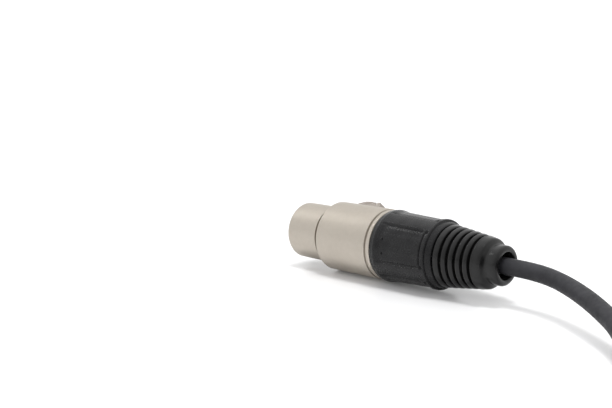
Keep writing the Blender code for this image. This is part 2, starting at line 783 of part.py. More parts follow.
def cable():
    """The two free stretches, and the solid that the coil fills."""
    skin = COIL_OUTER + CABLE_R + COIL_SKIN
    clear = skin + CABLE_R + GAP
    entry = Vector((math.cos(COIL_ENTRY), math.sin(COIL_ENTRY), 0.0)) * COIL_OUTER
    joining = COIL_CENTRE + entry + Vector((0.0, 0.0, CABLE_R))
    lead = smooth_line(LEAD_ROUTE + [tuple(joining)], 0.002)
    far = np.hypot(lead[:, 0] - COIL_CENTRE.x, lead[:, 1] - COIL_CENTRE.y)
    outside = [tuple(p) for p, r in zip(lead, far) if r > clear]
    tube("cable_lead", smooth_line(outside, 0.0055), CABLE_R, JACKET)

    tail = smooth_line(tail_route(), 0.002)
    above = [tuple(p) for p in tail if p[2] > COIL_TOP + CABLE_R + GAP]
    tube("cable_tail", smooth_line(above, 0.0055), CABLE_R, JACKET)

    low, high, chamfer = 0.00005, COIL_TOP, 0.0012
    hole = COIL_INNER - CABLE_R - COIL_SKIN
    bm = bmesh.new()
    outline = [
        (hole, low + chamfer),
        (hole + chamfer, low),
        (skin - chamfer, low),
        (skin, low + chamfer),
        (skin, high - chamfer),
        (skin - chamfer, high),
        (hole + chamfer, high),
        (hole, high - chamfer),
    ]
    loop = [bm.verts.new((r, 0.0, z)) for r, z in outline]
    edges = [bm.edges.new((a, b)) for a, b in zip(loop, loop[1:] + loop[:1])]
    bmesh.ops.spin(bm, geom=edges, axis=(0, 0, 1), cent=(0, 0, 0), angle=math.tau, steps=40)
    ring = finish_mesh("cable_coil", bm, JACKET)
    ring.location = COIL_CENTRE

    def tie_groove(bm):
        half = TIE_WIDTH / 2 + GAP
        add_box(bm, (0.0, -half, -0.001), (skin + 0.002, half, TIE_THICK + GAP))
        bmesh.ops.rotate(
            bm,
            verts=bm.verts,
            cent=(0, 0, 0),
            matrix=Matrix.Rotation(TIE_ANGLE, 3, "Z"),
        )
        bmesh.ops.translate(bm, verts=bm.verts, vec=COIL_CENTRE)

    cut(ring, "coil_tie_groove", tie_groove)


def cable_tie():
    """The strap around the bundle of turns: a rounded loop, in the upright plane through the axis."""
    skin = COIL_OUTER + CABLE_R + COIL_SKIN
    hole = COIL_INNER - CABLE_R - COIL_SKIN
    half = TIE_WIDTH / 2
    low_r = math.sqrt((hole - GAP) ** 2 - half**2)
    high_r = skin + GAP
    low_z, high_z = TIE_THICK, COIL_TOP + GAP
    corner_r = 0.0008

    def loop(grow):
        box = [
            (low_r - grow, low_z - grow),
            (high_r + grow, low_z - grow),
            (high_r + grow, high_z + grow),
            (low_r - grow, high_z + grow),
        ]
        points = []
        for k, corner in enumerate(box):
            before, after = box[k - 1], box[(k + 1) % 4]
            points += round_corner(corner, before, after, corner_r + grow)
        return points

    inner, outer = loop(0.0), loop(TIE_THICK)
    bm = bmesh.new()
    rings = []
    for points in (inner, outer):
        for y in (-half, half):
            rings.append([bm.verts.new((r, y, z)) for r, z in points])
    count = len(inner)
    for a, b in ((0, 1), (1, 3), (3, 2), (2, 0)):
        for k in range(count):
            m = (k + 1) % count
            bm.faces.new((rings[a][k], rings[a][m], rings[b][m], rings[b][k]))
    made = finish_mesh("cable_tie", bm, STRAP)
    made.location = COIL_CENTRE
    made.rotation_euler = (0.0, 0.0, TIE_ANGLE)


female_connector()
male_connector()
cable()
cable_tie()
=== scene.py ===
"""Looks of the microphone cable: the female connector in front, with its cable, the coil and the
male connector beside it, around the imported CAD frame. Metres, +Z up, in the frame's coordinates.
Outlines of turned and moulded pieces are in millimetres, in their connector's own frame."""

import json
import math

import bmesh
import bpy
import numpy as np
from mathutils import Matrix, Vector

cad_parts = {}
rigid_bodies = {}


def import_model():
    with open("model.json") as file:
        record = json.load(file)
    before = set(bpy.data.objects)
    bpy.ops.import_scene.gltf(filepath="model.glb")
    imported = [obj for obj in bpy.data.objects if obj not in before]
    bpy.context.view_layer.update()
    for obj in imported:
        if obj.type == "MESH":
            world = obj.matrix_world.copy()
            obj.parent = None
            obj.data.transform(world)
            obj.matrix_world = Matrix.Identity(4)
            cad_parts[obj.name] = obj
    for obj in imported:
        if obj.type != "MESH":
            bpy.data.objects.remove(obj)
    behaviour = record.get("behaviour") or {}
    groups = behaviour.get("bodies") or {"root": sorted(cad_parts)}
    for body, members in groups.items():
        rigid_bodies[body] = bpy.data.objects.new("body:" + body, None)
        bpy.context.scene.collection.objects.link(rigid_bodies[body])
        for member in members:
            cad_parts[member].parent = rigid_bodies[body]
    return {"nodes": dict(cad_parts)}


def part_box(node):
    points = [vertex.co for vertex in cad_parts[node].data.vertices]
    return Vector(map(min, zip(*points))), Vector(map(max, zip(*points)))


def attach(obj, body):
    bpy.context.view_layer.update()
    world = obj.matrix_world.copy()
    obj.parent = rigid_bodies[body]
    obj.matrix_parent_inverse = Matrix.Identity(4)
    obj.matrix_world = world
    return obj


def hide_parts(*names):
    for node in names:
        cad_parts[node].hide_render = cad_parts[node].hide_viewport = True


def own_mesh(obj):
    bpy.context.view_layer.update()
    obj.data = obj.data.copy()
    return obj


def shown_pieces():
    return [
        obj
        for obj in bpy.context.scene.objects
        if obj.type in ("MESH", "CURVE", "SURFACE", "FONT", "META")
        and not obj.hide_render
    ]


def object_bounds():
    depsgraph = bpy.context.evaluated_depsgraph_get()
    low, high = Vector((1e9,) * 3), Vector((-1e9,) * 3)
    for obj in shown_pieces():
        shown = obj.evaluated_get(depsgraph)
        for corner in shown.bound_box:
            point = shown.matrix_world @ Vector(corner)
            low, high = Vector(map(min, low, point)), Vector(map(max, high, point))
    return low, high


for default in list(bpy.data.objects):
    bpy.data.objects.remove(default, do_unlink=True)

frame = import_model()
cad_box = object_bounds()

# ---------------------------------------------------------------- sizes, from the frame and part.py
MM = 0.001
BODY = "cable"
LATCH = "latch"

nose_low, nose_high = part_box("female_nose")
boot_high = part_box("female_boot")[1]
FRONT = nose_low.x
LENGTH = boot_high.x - FRONT
AXIS_HEIGHT = (nose_low.z + nose_high.z) / 2
LATCH_ROLL = math.radians(45.0)

CABLE_R = 2.15 * MM
CABLE_END = 43.0 * MM  # the jacket's end inside either connector, from its mating end
CABLE_POINT_GAP = 2.5 * MM
CABLE_BEVEL = 5
CABLE_SHARP = math.radians(60.0)
CURVE_STEP = 0.0004  # how finely a route is sampled before its points are spaced evenly

COIL_CENTRE = Vector((120.5 * MM, -8.3 * MM, 0.0))
COIL_INNER = 17.25 * MM
COIL_OUTER = 35.95 * MM
COIL_RISE = 4.32 * MM
COIL_LAYERS = 4
TURNS_PER_LAYER = 4.25
COIL_ENTRY = math.radians(-80.0)
COIL_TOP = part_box("cable_coil")[1].z
POINTS_PER_TURN = 36
LAYER_CLIMB = 1.8  # radians of a turn in which it rises to the next layer

TIE_ANGLE = math.radians(120.0)
TIE_WIDTH = 11.0 * MM
TIE_THICK = 1.1 * MM
TIE_MARGIN = 1.0 * MM  # how far beside the strap a turn is still fully lifted
TIE_RAMP = 9.0 * MM  # and how much further it takes to come down

MALE_HEADING = math.radians(45.0)
NUT_FRONT_R = 9.93  # the cap nut's largest radius, in millimetres
MALE_GAP = 0.3 * MM
MALE_HEIGHT = COIL_TOP + MALE_GAP + NUT_FRONT_R * MM
TAIL_BEND_R = 19.0 * MM
TAIL_STRAIGHT = 3.0 * MM
TAIL_CLIMB_START = math.radians(-240.0)
TAIL_STEPS = 24

# ---------------------------------------------------------------- camera
CAMERA_PLACE = Vector((0.16515, -0.1926, 0.0600))
CAMERA_HEADING = Vector((-0.7218, 0.6921, 0.0))
CAMERA_PITCH = math.radians(8.73)
LENS_MM = 56.03

down = Vector((0.0, 0.0, -math.sin(CAMERA_PITCH)))
camera = bpy.data.objects.new("camera", bpy.data.cameras.new("camera"))
bpy.context.collection.objects.link(camera)
camera.location = CAMERA_PLACE
looking = CAMERA_HEADING.normalized() * math.cos(CAMERA_PITCH) + down
camera.rotation_euler = looking.to_track_quat("-Z", "Y").to_euler()
camera.data.sensor_width = 36.0
camera.data.lens = LENS_MM
camera.data.clip_start = 0.005
bpy.context.scene.camera = camera

# ---------------------------------------------------------------- cable
LEAD_ROUTE = [
    (FRONT + CABLE_END, 0.0, AXIS_HEIGHT),
    (0.0200, 0.0, AXIS_HEIGHT),
    (0.0325, 0.0, AXIS_HEIGHT),
    (0.0380, -0.0001, AXIS_HEIGHT),
    (0.0428, -0.0005, 0.00968),
    (0.0474, -0.0015, 0.00952),
    (0.0517, -0.0032, 0.00926),
    (0.0559, -0.0054, 0.00890),
    (0.0602, -0.0080, 0.00845),
    (0.0644, -0.0108, 0.00790),
    (0.0686, -0.0138, 0.00722),
    (0.0728, -0.0170, 0.00640),
    (0.0770, -0.0212, 0.00545),
    (0.0814, -0.0262, 0.00440),
    (0.0861, -0.0316, 0.00335),
    (0.0911, -0.0367, 0.00255),
    (0.0968, -0.0410, 0.00220),
    (0.1031, -0.0440, 0.00216),
    (0.1106, -0.0454, 0.00215),
    (0.1186, -0.0452, 0.00215),
]


def smooth_step(share):
    share = min(1.0, max(0.0, share))
    return share * share * (3.0 - 2.0 * share)


def smooth_line(points, spacing):
    """Points `spacing` apart along a smooth curve through the given points."""
    pts = np.array(points, float)
    ghost = np.vstack([2 * pts[0] - pts[1], pts, 2 * pts[-1] - pts[-2]])
    fine = []
    for a, b, c, d in zip(ghost, ghost[1:], ghost[2:], ghost[3:]):
        steps = max(4, int(np.linalg.norm(c - b) / CURVE_STEP))
        t = np.linspace(0, 1, steps, endpoint=False)[:, None]
        bend = (2 * a - 5 * b + 4 * c - d) * t**2 + (3 * b - a - 3 * c + d) * t**3
        fine.append(b + 0.5 * ((c - a) * t + bend))
    fine = np.vstack([*fine, pts[-1:]])
    along = np.concatenate([[0.0], np.linalg.norm(np.diff(fine, axis=0), axis=1).cumsum()])
    count = max(2, round(along[-1] / spacing) + 1)
    wanted = np.linspace(0.0, along[-1], count)
    return np.column_stack([np.interp(wanted, along, fine[:, k]) for k in range(3)])


def over_tie(angle, radius):
    """How far a turn is lifted where the strap passes beneath it."""
    off = (angle - TIE_ANGLE + math.pi) % math.tau - math.pi
    clear = abs(off) * radius - TIE_WIDTH / 2 - TIE_MARGIN
    return TIE_THICK * smooth_step(1.0 - clear / TIE_RAMP)


def coil_route():
    """The wound turns, from the lead's arrival at the outer one to where the last one climbs."""
    layer = TURNS_PER_LAYER * math.tau
    span = TAIL_CLIMB_START - COIL_ENTRY + COIL_LAYERS * layer
    last_layer = span - (COIL_LAYERS - 1) * layer
    count = int(span / math.tau * POINTS_PER_TURN)
    route = []
    for k in range(1, count):
        gone = span * k / count
        index = min(COIL_LAYERS - 1, int(gone / layer))
        share = (gone - index * layer) / (layer if index < COIL_LAYERS - 1 else last_layer)
        outward = share if index % 2 else 1.0 - share
        radius = COIL_INNER + (COIL_OUTER - COIL_INNER) * outward
        changes = [n * layer for n in range(1, COIL_LAYERS)]
        climbs = [smooth_step((gone - change) / LAYER_CLIMB + 0.5) for change in changes]
        angle = COIL_ENTRY + gone
        height = CABLE_R + COIL_RISE * sum(climbs) + over_tie(angle, radius)
        x = COIL_CENTRE.x + radius * math.cos(angle)
        y = COIL_CENTRE.y + radius * math.sin(angle)
        route.append((x, y, height))
    return route


def male_axis():
    return Vector((math.cos(MALE_HEADING), math.sin(MALE_HEADING), 0.0))


def tail_end():
    """Where the last turn's bend ends, on the male connector's axis."""
    along = male_axis()
    left = Vector((-along.y, along.x, 0.0))
    flat = COIL_CENTRE - along * (COIL_OUTER - TAIL_BEND_R) - left * TAIL_BEND_R
    return flat + Vector((0.0, 0.0, MALE_HEIGHT))


def tail_route():
    """The last part of the top layer, climbing, and its bend into the male connector's boot."""
    top_layer = CABLE_R + (COIL_LAYERS - 1) * COIL_RISE
    bend_start = MALE_HEADING - math.pi
    on_coil = COIL_OUTER * (bend_start - TAIL_CLIMB_START)
    in_bend = TAIL_BEND_R * math.pi / 2
    bend_centre = COIL_CENTRE - male_axis() * (COIL_OUTER - TAIL_BEND_R)
    route = []
    for k in range(TAIL_STEPS + 1):
        along = (on_coil + in_bend) * k / TAIL_STEPS
        if along < on_coil:
            centre, radius = COIL_CENTRE, COIL_OUTER
            angle = TAIL_CLIMB_START + along / COIL_OUTER
        else:
            centre, radius = bend_centre, TAIL_BEND_R
            angle = bend_start + (along - on_coil) / TAIL_BEND_R
        lift = smooth_step(along / (on_coil + in_bend))
        height = top_layer + (MALE_HEIGHT - top_layer) * lift
        height += over_tie(angle, COIL_OUTER) * (1.0 - lift)
        x = centre.x + radius * math.cos(angle)
        y = centre.y + radius * math.sin(angle)
        route.append((x, y, height))
    inside = TAIL_STRAIGHT + LENGTH - CABLE_END
    route += [tuple(tail_end() + male_axis() * inside * s) for s in (0.25, 0.5, 0.75, 1.0)]
    return route


def make_cable():
    line = smooth_line(LEAD_ROUTE + coil_route() + tail_route(), CABLE_POINT_GAP)
    curve = bpy.data.curves.new("cable", "CURVE")
    curve.dimensions = "3D"
    curve.bevel_depth = CABLE_R
    curve.bevel_resolution = CABLE_BEVEL
    curve.use_fill_caps = True
    spline = curve.splines.new("POLY")
    spline.points.add(len(line) - 1)
    for point, place in zip(spline.points, line):
        point.co = (*place, 1.0)
    guide = bpy.data.objects.new("cable_guide", curve)
    bpy.context.collection.objects.link(guide)
    graph = bpy.context.evaluated_depsgraph_get()
    mesh = bpy.data.meshes.new_from_object(guide.evaluated_get(graph), depsgraph=graph)
    bpy.data.objects.remove(guide, do_unlink=True)
    mesh.shade_smooth()
    mesh.set_sharp_from_angle(angle=CABLE_SHARP)
    made = bpy.data.objects.new("cable_jacket", mesh)
    bpy.context.collection.objects.link(made)
    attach(made, BODY)
    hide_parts("cable_lead", "cable_coil", "cable_tail")
    return made, [tuple(p) for p in line]


cable, cable_path = make_cable()


# ---------------------------------------------------------------- material tools
class Nodes:
    """A material's node tree, with short ways to add the nodes that are used here."""

    def __init__(self, name, colour, metallic=0.0, roughness=0.5, **sockets):
        self.material = bpy.data.materials.new(name)
        self.material.use_nodes = True
        self.tree = self.material.node_tree
        self.shader = self.tree.nodes["Principled BSDF"]
        self.set("Base Color", (*colour, 1.0))
        self.set("Metallic", metallic)
        self.set("Roughness", roughness)
        for socket, value in sockets.items():
            self.set(socket.replace("_", " "), value)
        self.places = self.add("ShaderNodeTexCoord").outputs["Object"]
        self.last_bump = None

    def add(self, kind, **values):
        node = self.tree.nodes.new(kind)
        for key, value in values.items():
            if key in node.inputs:
                node.inputs[key].default_value = value
            else:
                setattr(node, key, value)
        return node

    def set(self, socket, value):
        self.shader.inputs[socket].default_value = value

    def link(self, out, into):
        self.tree.links.new(out, into)

    def stretched(self, scale):
        """Object coordinates, scaled differently along each axis."""
        mapping = self.add("ShaderNodeMapping")
        mapping.inputs["Scale"].default_value = scale
        self.link(self.places, mapping.inputs["Vector"])
        return mapping.outputs["Vector"]

    def noise(self, scale, detail=4.0, stretch=(1, 1, 1), roughness=0.55):
        node = self.add("ShaderNodeTexNoise", Scale=scale, Detail=detail, Roughness=roughness)
        self.link(self.stretched(stretch), node.inputs["Vector"])
        return node.outputs["Fac"]

    def ramp(self, value, low, high, start=0.35, end=0.65):
        """Turns a value into a colour (three numbers) or a grey (one), between low and high."""
        node = self.add("ShaderNodeValToRGB")
        self.link(value, node.inputs["Fac"])
        for element, place, colour in zip(node.color_ramp.elements, (start, end), (low, high)):
            element.position = place
            grey = not hasattr(colour, "__len__")
            element.color = (colour, colour, colour, 1.0) if grey else (*colour, 1.0)
        return node.outputs["Color"]

    def colour(self, value, low, high, start=0.35, end=0.65):
        self.link(self.ramp(value, low, high, start, end), self.shader.inputs["Base Color"])

    def roughness(self, value, low, high, start=0.35, end=0.65):
        self.link(self.ramp(value, low, high, start, end), self.shader.inputs["Roughness"])

    def bump(self, height, distance, strength=1.0):
        node = self.add("ShaderNodeBump", Strength=strength, Distance=distance)
        self.link(height, node.inputs["Height"])
        if self.last_bump:
            self.link(self.last_bump, node.inputs["Normal"])
        self.last_bump = node.outputs["Normal"]
        self.link(self.last_bump, self.shader.inputs["Normal"])


def satin_nickel(name, low, high):
    """Blasted and plated die casting: a fine even grain and faint turning marks."""
    made = Nodes(name, low, 1.0, 0.50)
    made.colour(made.noise(150.0, 4.0), low, high, 0.25, 0.75)
    made.roughness(made.noise(900.0, 3.0), 0.47, 0.54)
    made.bump(made.noise(7000.0, 2.0), 0.000006, 0.5)
    made.bump(made.noise(1.0, 2.0, (9000.0, 60.0, 60.0)), 0.000004, 0.35)
    return made.material


def moulded_plastic():
    """Glass-filled black plastic: slightly uneven grey-black with a fine spark-eroded grain."""
    made = Nodes("moulded_plastic", (0.010, 0.010, 0.010), 0.0, 0.36, IOR=1.5)
    made.set("Specular IOR Level", 0.21)
    made.colour(made.noise(350.0, 4.0), (0.005, 0.005, 0.0055), (0.011, 0.011, 0.0115))
    made.roughness(made.noise(1500.0, 3.0), 0.22, 0.30)
    made.bump(made.noise(5200.0, 3.0), 0.000010, 0.45)
    made.bump(made.noise(1.0, 2.0, (40.0, 1500.0, 1500.0)), 0.000020, 0.35)
    return made.material


def boot_rubber():
    """Soft black boot: matte, with faint dust in it and a fine pebble grain."""
    made = Nodes("boot_rubber", (0.008, 0.008, 0.008), 0.0, 0.33, IOR=1.5)
    made.set("Specular IOR Level", 0.30)
    made.colour(made.noise(420.0, 6.0), (0.004, 0.004, 0.004), (0.008, 0.008, 0.008))
    made.roughness(made.noise(1100.0, 4.0), 0.17, 0.24)
    made.bump(made.noise(3600.0, 3.0), 0.000016, 0.5)
    return made.material


def cable_jacket():
    """Extruded flexible jacket: dull dark grey, finely grained, wavy from the braid below."""
    made = Nodes("cable_jacket", (0.020, 0.020, 0.022), 0.0, 0.50, IOR=1.5)
    made.set("Specular IOR Level", 0.20)
    made.colour(made.noise(260.0, 5.0), (0.016, 0.016, 0.018), (0.024, 0.024, 0.027))
    made.roughness(made.noise(900.0, 3.0), 0.48, 0.62)
    made.bump(made.noise(4200.0, 3.0), 0.000012, 0.5)
    made.bump(made.noise(330.0, 2.0), 0.000060, 0.35)
    return made.material


def plated_contact():
    made = Nodes("gold_contact", (0.85, 0.66, 0.34), 1.0, 0.24)
    made.colour(made.noise(900.0, 4.0), (0.80, 0.60, 0.28), (0.90, 0.72, 0.40))
    made.roughness(made.noise(2400.0, 3.0), 0.18, 0.34)
    made.bump(made.noise(1.0, 2.0, (12000.0, 80.0, 80.0)), 0.000004, 0.4)
    return made.material


def spring_steel():
    made = Nodes("spring_steel", (0.56, 0.57, 0.58), 1.0, 0.30)
    made.colour(made.noise(700.0, 4.0), (0.48, 0.49, 0.50), (0.62, 0.63, 0.64))
    made.roughness(made.noise(1800.0, 3.0), 0.24, 0.40)
    made.bump(made.noise(1.0, 2.0, (300.0, 9000.0, 300.0)), 0.000005, 0.4)
    return made.material


def clamp_nylon():
    made = Nodes("clamp_nylon", (0.10, 0.105, 0.11), 0.0, 0.45)
    made.colour(made.noise(500.0, 4.0), (0.085, 0.09, 0.095), (0.12, 0.125, 0.13))
    made.roughness(made.noise(1500.0, 3.0), 0.38, 0.52)
    made.bump(made.noise(4200.0, 2.0), 0.00001, 0.4)
    return made.material


def core_insulation(name, low, high):
    made = Nodes(name, low, 0.0, 0.4)
    made.colour(made.noise(800.0, 3.0), low, high)
    made.roughness(made.noise(2000.0, 3.0), 0.32, 0.48)
    made.bump(made.noise(5000.0, 2.0), 0.000006, 0.4)
    return made.material


def copper_shield():
    """Twisted bare strands."""
    made = Nodes("copper_shield", (0.72, 0.40, 0.24), 1.0, 0.35)
    made.colour(made.noise(1500.0, 4.0), (0.60, 0.32, 0.18), (0.80, 0.48, 0.30))
    made.roughness(made.noise(2500.0, 2.0), 0.28, 0.45)
    strands = made.add("ShaderNodeTexWave", Scale=2400.0, Distortion=0.5)
    strands.bands_direction = "DIAGONAL"
    made.link(made.places, strands.inputs["Vector"])
    made.bump(strands.outputs["Fac"], 0.00006, 0.8)
    return made.material


# ---------------------------------------------------------------- shape tools
def female_place():
    roll = Matrix.Rotation(-LATCH_ROLL, 4, "X")
    return Matrix.Translation((FRONT, 0.0, AXIS_HEIGHT)) @ roll


def male_place():
    mouth = tail_end() + male_axis() * (TAIL_STRAIGHT + LENGTH)
    return Matrix.Translation(mouth) @ Matrix.Rotation(MALE_HEADING + math.pi, 4, "Z")


WELD = 1e-7  # points closer than this are one
CREASE = 32.0  # degrees; sharper edges are shaded sharp
SOFT_EDGE = 40.0  # the same for edges that are rounded afterwards


def add_piece(name, bm, material, place, replaced, body=BODY, crease=CREASE):
    """Closes up a bmesh and makes it a piece that rides on a body and stands for CAD nodes."""
    bmesh.ops.remove_doubles(bm, verts=bm.verts, dist=WELD)
    bmesh.ops.recalc_face_normals(bm, faces=bm.faces)
    mesh = bpy.data.meshes.new(name)
    bm.to_mesh(mesh)
    bm.free()
    mesh.shade_smooth()
    mesh.set_sharp_from_angle(angle=math.radians(crease))
    mesh.materials.append(material)
    made = bpy.data.objects.new(name, mesh)
    bpy.context.collection.objects.link(made)
    made.matrix_world = place
    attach(made, body)
    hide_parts(*replaced)
    return made


def arc(centre, radius, start, end, steps):
    """Points of an arc in the (t, r) plane; angles in degrees, 0 along +t and 90 along +r."""
    angles = np.radians(np.linspace(start, end, steps + 1))
    return [(centre[0] + radius * math.cos(a), centre[1] + radius * math.sin(a)) for a in angles]


def densify(points, longest):
    """Adds points on an outline's straight stretches, so that none is longer than `longest`."""
    dense = []
    for (x0, r0), (x1, r1) in zip(points, points[1:]):
        steps = max(1, math.ceil(math.hypot(x1 - x0, r1 - r0) / longest))
        dense += [(x0 + (x1 - x0) * k / steps, r0 + (r1 - r0) * k / steps) for k in range(steps)]
    return dense + [points[-1]]


def lathe(outline, segments=96, shift=None):
    """A solid turned about X from a closed outline of (t, r) points, in millimetres."""
    bm = bmesh.new()
    rows = []
    for t, r in outline:
        row = []
        for k in range(segments):
            angle = math.tau * (k + 0.5) / segments
            far = shift(t, r, angle) if shift else r
            y, z = far * math.sin(angle), far * math.cos(angle)
            row.append(bm.verts.new((t * MM, y * MM, z * MM)))
        rows.append(row)
    for row, following in zip(rows, rows[1:] + rows[:1]):
        for k in range(segments):
            m = (k + 1) % segments
            bm.faces.new((row[k], row[m], following[m], following[k]))
    return bm


def cut_box(target, low, high, round_corner=0.0):
    """Cuts a box, in the piece's own frame and in millimetres, out of a piece."""
    bm = bmesh.new()
    low, high = Vector(low) * MM, Vector(high) * MM
    size = Matrix.Diagonal((*(high - low), 1.0))
    bmesh.ops.create_cube(bm, size=1.0, matrix=Matrix.Translation((low + high) / 2) @ size)
    if round_corner:
        upright = [e for e in bm.edges if abs((e.verts[0].co - e.verts[1].co).z) > MM]
        bmesh.ops.bevel(
            bm, geom=upright, offset=round_corner * MM, segments=5, profile=0.5, affect="EDGES"
        )
    mesh = bpy.data.meshes.new(target.name + "_cutter")
    bm.to_mesh(mesh)
    bm.free()
    cutter = bpy.data.objects.new(target.name + "_cutter", mesh)
    bpy.context.collection.objects.link(cutter)
    cutter.matrix_world = target.matrix_world
    bpy.context.view_layer.update()
    boolean = target.modifiers.new("cut", "BOOLEAN")
    boolean.operation = "DIFFERENCE"
    boolean.solver = "EXACT"
    boolean.object = cutter
    apply_modifiers(target)
    bpy.data.objects.remove(cutter, do_unlink=True)


def apply_modifiers(target):
    bpy.context.view_layer.update()
    graph = bpy.context.evaluated_depsgraph_get()
    mesh = bpy.data.meshes.new_from_object(target.evaluated_get(graph), depsgraph=graph)
    target.modifiers.clear()
    target.data = mesh


def soften(target, width, angle=SOFT_EDGE, segments=3):
    """Rounds a piece's sharp edges."""
    bevel = target.modifiers.new("soften", "BEVEL")
    bevel.width = width * MM
    bevel.segments = segments
    bevel.limit_method = "ANGLE"
    bevel.angle_limit = math.radians(angle)
    bevel.harden_normals = False
    bevel.use_clamp_overlap = True
    target.data.shade_smooth()
    apply_modifiers(target)
    target.data.shade_smooth()
    target.data.set_sharp_from_angle(angle=math.radians(SOFT_EDGE))


# ---------------------------------------------------------------- pieces of both connectors
PANEL_TURN = 286.0 - math.degrees(LATCH_ROLL)  # middle of one grip panel of the female cap nut
PANEL_HALF = 5.64  # half a panel's width, along the surface
PANEL_START, PANEL_END = 34.9, 50.3
PANEL_FADE = 2.6  # the panel deepens gently from its front end
PANEL_DEPTH = 0.32
PANEL_CORNER = 1.7
PANEL_WALL = 0.32  # how far in from its edge a panel reaches its depth
PANEL_R = 9.5  # radius at which widths on the nut are measured
GUTTER_DEPTH, GUTTER_IN, GUTTER_WIDTH = 0.44, 0.46, 0.24  # the groove along a panel's edge
GUTTER_SIDES, GUTTER_ENDS = 0.35, 0.65  # its share all round, and the rest towards the rear end
RIDGE_HEIGHT, RIDGE_WAVES, RIDGE_START = 0.06, 1.55, 0.6  # the fine ridges along a panel
NOTCH_DEPTH = 0.5  # of the small moulded notch at each rear corner of a panel
NOTCH_BACK, NOTCH_IN = 0.15, 0.75  # its middle, from the panel's corner
NOTCH_REACH, NOTCH_SCALE = 1.6, 0.36
NUT_SEGMENTS = 400
NUT_TAPER, NUT_TAPER_START = 0.0369, 33.6
NUT_SURFACE = 8.5  # only points of the outline outside this radius are dipped
PIPS = ((37.2, 5.4), (37.5, -17.8))  # (t, degrees from the panel's middle)
PIP_R, PIP_FLATNESS = 0.42, 0.7


def panel_dip(t, angle, turn):
    """How deep the cap nut's surface lies below its strips, and the panel's fine ridges."""
    off = (math.degrees(angle) - turn + 45.0) % 90.0 - 45.0
    across = math.radians(off) * PANEL_R
    u = PANEL_CORNER - (PANEL_END - t)
    v = PANEL_CORNER - (PANEL_HALF - abs(across))
    inside = PANEL_CORNER - math.hypot(max(u, 0.0), max(v, 0.0)) - min(max(u, v), 0.0)
    fade = smooth_step((t - PANEL_START) / PANEL_FADE)
    depth = PANEL_DEPTH * smooth_step(inside / PANEL_WALL) * fade
    round_edge = math.exp(-(((inside - GUTTER_IN) / GUTTER_WIDTH) ** 2))
    gutter = GUTTER_DEPTH * round_edge * (GUTTER_SIDES + GUTTER_ENDS * smooth_step(u - v))
    ridge = RIDGE_HEIGHT * abs(math.sin(across * RIDGE_WAVES)) * smooth_step(inside - RIDGE_START)
    notch = math.hypot(t - PANEL_END - NOTCH_BACK, abs(across) - PANEL_HALF + NOTCH_IN)
    pocket = NOTCH_DEPTH * smooth_step(NOTCH_REACH - notch / NOTCH_SCALE)
    return depth + (gutter + ridge) * fade + pocket


def nut_outer(t):
    """The cap nut's radius between its panels."""
    return NUT_FRONT_R - NUT_TAPER * (t - NUT_TAPER_START)


def cap_nut(prefix, place, turn):
    def shift(t, r, angle):
        dips = PANEL_START - 0.1 < t < PANEL_END + 0.7 and r > NUT_SURFACE
        return r - panel_dip(t, angle, turn) if dips else r

    outline = [(28.1, 6.9), (28.1, 8.3), (33.6, 8.3), (33.6, 9.3)]
    outline += arc((33.95, 9.38), 0.35, 180, 92, 4)
    outline += densify([(34.6, 9.78), (34.9, nut_outer(34.9))], 0.3)
    outline += densify([(35.1, nut_outer(35.1)), (51.1, nut_outer(51.1))], 0.17)
    outline += arc((51.15, nut_outer(51.1) - 0.3), 0.3, 70, 20, 3)
    outline += [(51.5, 8.70), (51.75, 8.60)]
    outline += arc((52.6, 7.95), 0.55, 60, 0, 4)
    outline += [(53.1, 7.6), (53.1, 6.6), (50.0, 6.6), (49.5, 6.9)]
    bm = lathe(outline, NUT_SEGMENTS, shift)
    made = add_piece(f"{prefix}_nut_cover", bm, PLASTIC, place, [f"{prefix}_cap_nut"])
    add_pips(prefix, place, turn)


def add_pips(prefix, place, turn):
    """The two small moulded pips at the front of one grip panel."""
    bm = bmesh.new()
    for t, off in PIPS:
        angle = math.radians(turn + off)
        far = (nut_outer(t) - PANEL_DEPTH) * MM
        spot = Matrix.Translation((t * MM, far * math.sin(angle), far * math.cos(angle)))
        flat = Matrix.Diagonal((1.0, 1.0, PIP_FLATNESS, 1.0))
        shape = spot @ Matrix.Rotation(-angle, 4, "X") @ flat
        bmesh.ops.create_icosphere(bm, subdivisions=3, radius=PIP_R * MM, matrix=shape)
    mesh = bpy.data.meshes.new(f"{prefix}_nut_pips")
    bm.to_mesh(mesh)
    bm.free()
    mesh.shade_smooth()
    mesh.materials.append(PLASTIC)
    made = bpy.data.objects.new(f"{prefix}_nut_pips", mesh)
    bpy.context.collection.objects.link(made)
    made.matrix_world = place
    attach(made, BODY)


CONE_START, CONE_FRONT_R, CONE_TAPER = 53.5, 8.2, 0.1355
RIB_PITCH = 2.02
FIRST_GROOVE = 55.43  # middle of the first full groove of the boot
GROOVES = 5
HALF_GROOVE = 0.36
GROOVE_DEPTH = 1.05
RIB_ROUND = 0.42
BOOT_FRONT = 53.45  # where the boot comes out of the cap nut
BOOT_SEGMENTS = 112


def cone_radius(t):
    """The boot's radius over its ribs."""
    return CONE_FRONT_R - CONE_TAPER * (t - CONE_START)


